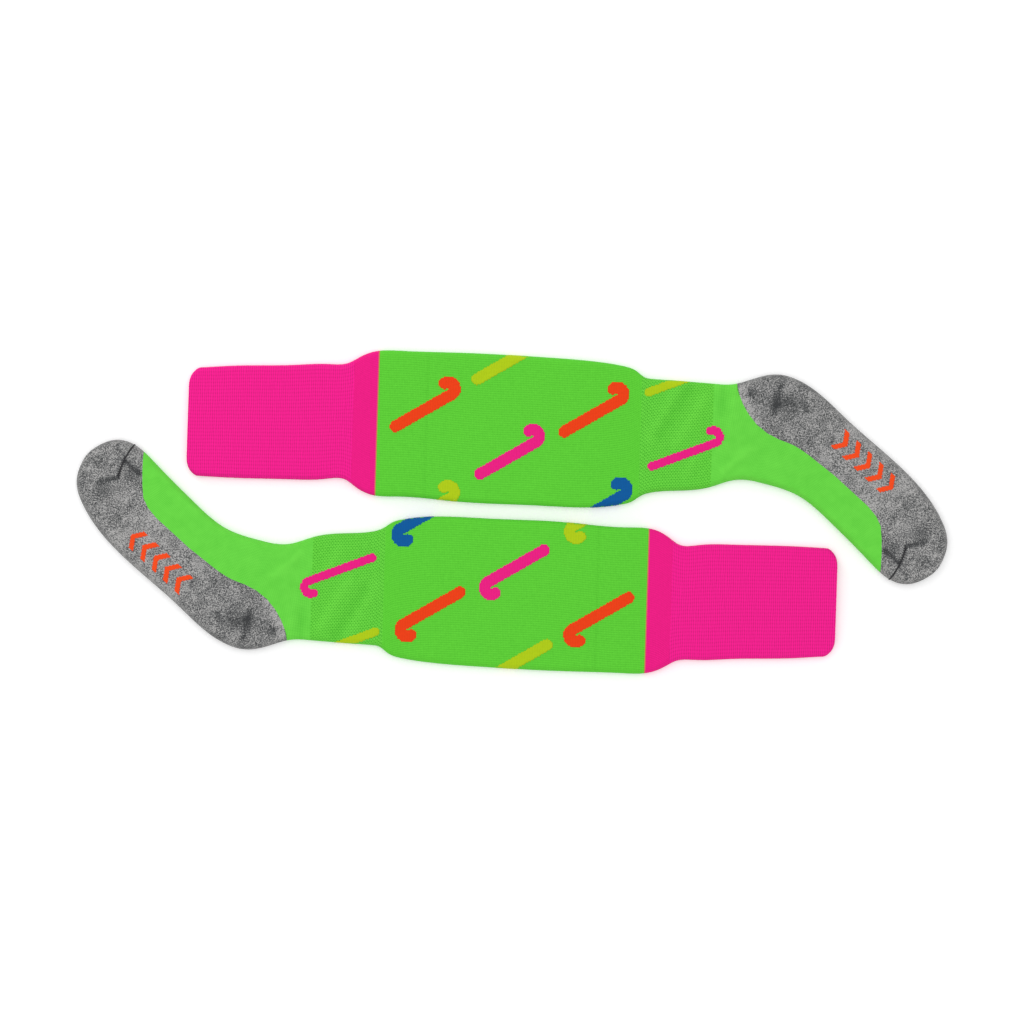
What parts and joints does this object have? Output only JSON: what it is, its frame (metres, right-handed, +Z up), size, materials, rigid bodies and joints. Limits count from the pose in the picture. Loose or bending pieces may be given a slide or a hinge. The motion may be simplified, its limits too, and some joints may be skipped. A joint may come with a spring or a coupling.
{
  "type": "pair of field hockey socks",
  "caption": "Pair of knee-length knitted sports socks laid flat side by side, head to tail, with ribbed folding cuffs, mesh ankles and looped grey feet.",
  "frame": {"origin": "on the table, midway between the two socks, at the centre of the pair's footprint", "axes": "+X towards the first sock's mouth, +Y towards the second sock, +Z up from the table"},
  "size_m": [0.6944, 0.2582, 0.012],
  "materials": {
    "calf_jersey": "fine green knit",
    "mesh_knit": "open-holed green knit",
    "instep_knit": "smooth green knit",
    "cuff_rib": "ribbed pink knit",
    "flare_knit": "plain pink knit",
    "elastic": "covered elastic thread",
    "yarn_orange": "inlaid yarn",
    "yarn_pink": "inlaid yarn",
    "yarn_yellow": "inlaid yarn",
    "yarn_blue": "inlaid yarn",
    "terry_grey": "grey marl looped knit",
    "seam_yarn": "linking seam yarn"
  },
  "bodies": {
    "a_leg": {"sock_a_calf": "calf_jersey", "sock_a_ankle_mesh": "mesh_knit", "sock_a_ankle": "instep_knit", "sock_a_cuff_flare": "flare_knit", "sock_a_sticks_pink": "yarn_pink", "sock_a_sticks_yellow": "yarn_yellow", "sock_a_sticks_blue": "yarn_blue", "sock_a_sticks_orange": "yarn_orange"},
    "a_cuff": {"sock_a_cuff_rib": "cuff_rib", "sock_a_cuff_welt": "cuff_rib", "sock_a_cuff_elastic": "elastic"},
    "a_foot": {"sock_a_instep": "instep_knit", "sock_a_heel": "terry_grey", "sock_a_sole": "terry_grey", "sock_a_toe_cap": "terry_grey", "sock_a_toe_seam": "seam_yarn", "sock_a_sole_mark": "yarn_orange"},
    "b_leg": {"sock_b_calf": "calf_jersey", "sock_b_ankle_mesh": "mesh_knit", "sock_b_ankle": "instep_knit", "sock_b_cuff_flare": "flare_knit", "sock_b_sticks_pink": "yarn_pink", "sock_b_sticks_yellow": "yarn_yellow", "sock_b_sticks_blue": "yarn_blue", "sock_b_sticks_orange": "yarn_orange"},
    "b_cuff": {"sock_b_cuff_rib": "cuff_rib", "sock_b_cuff_welt": "cuff_rib", "sock_b_cuff_elastic": "elastic"},
    "b_foot": {"sock_b_instep": "instep_knit", "sock_b_heel": "terry_grey", "sock_b_sole": "terry_grey", "sock_b_toe_cap": "terry_grey", "sock_b_toe_seam": "seam_yarn", "sock_b_sole_mark": "yarn_orange"}
  },
  "joints": [
    {"name": "sock_a_cuff_fold", "type": "hinge", "parent": "a_leg", "child": "a_cuff", "pos_m": [0.1266, -0.07118, 0.0102], "axis": [-0.0321, -0.9995, 0], "range_deg": [0, 180]},
    {"name": "sock_a_ankle_bend", "type": "hinge", "parent": "a_leg", "child": "a_foot", "pos_m": [-0.16476, -0.06182, 0.005], "axis": [0, 0, 1], "range_deg": [-6, 35]},
    {"name": "sock_b_part", "type": "slide", "parent": "a_leg", "child": "b_leg", "axis": [0, 1, 0], "range_m": [0, 0.15]},
    {"name": "sock_b_cuff_fold", "type": "hinge", "parent": "b_leg", "child": "b_cuff", "pos_m": [-0.1266, 0.07118, 0.0102], "axis": [0.0321, 0.9995, 0], "range_deg": [0, 180]},
    {"name": "sock_b_ankle_bend", "type": "hinge", "parent": "b_leg", "child": "b_foot", "pos_m": [0.16476, 0.06182, 0.005], "axis": [0, 0, 1], "range_deg": [-6, 35]}
  ]
}
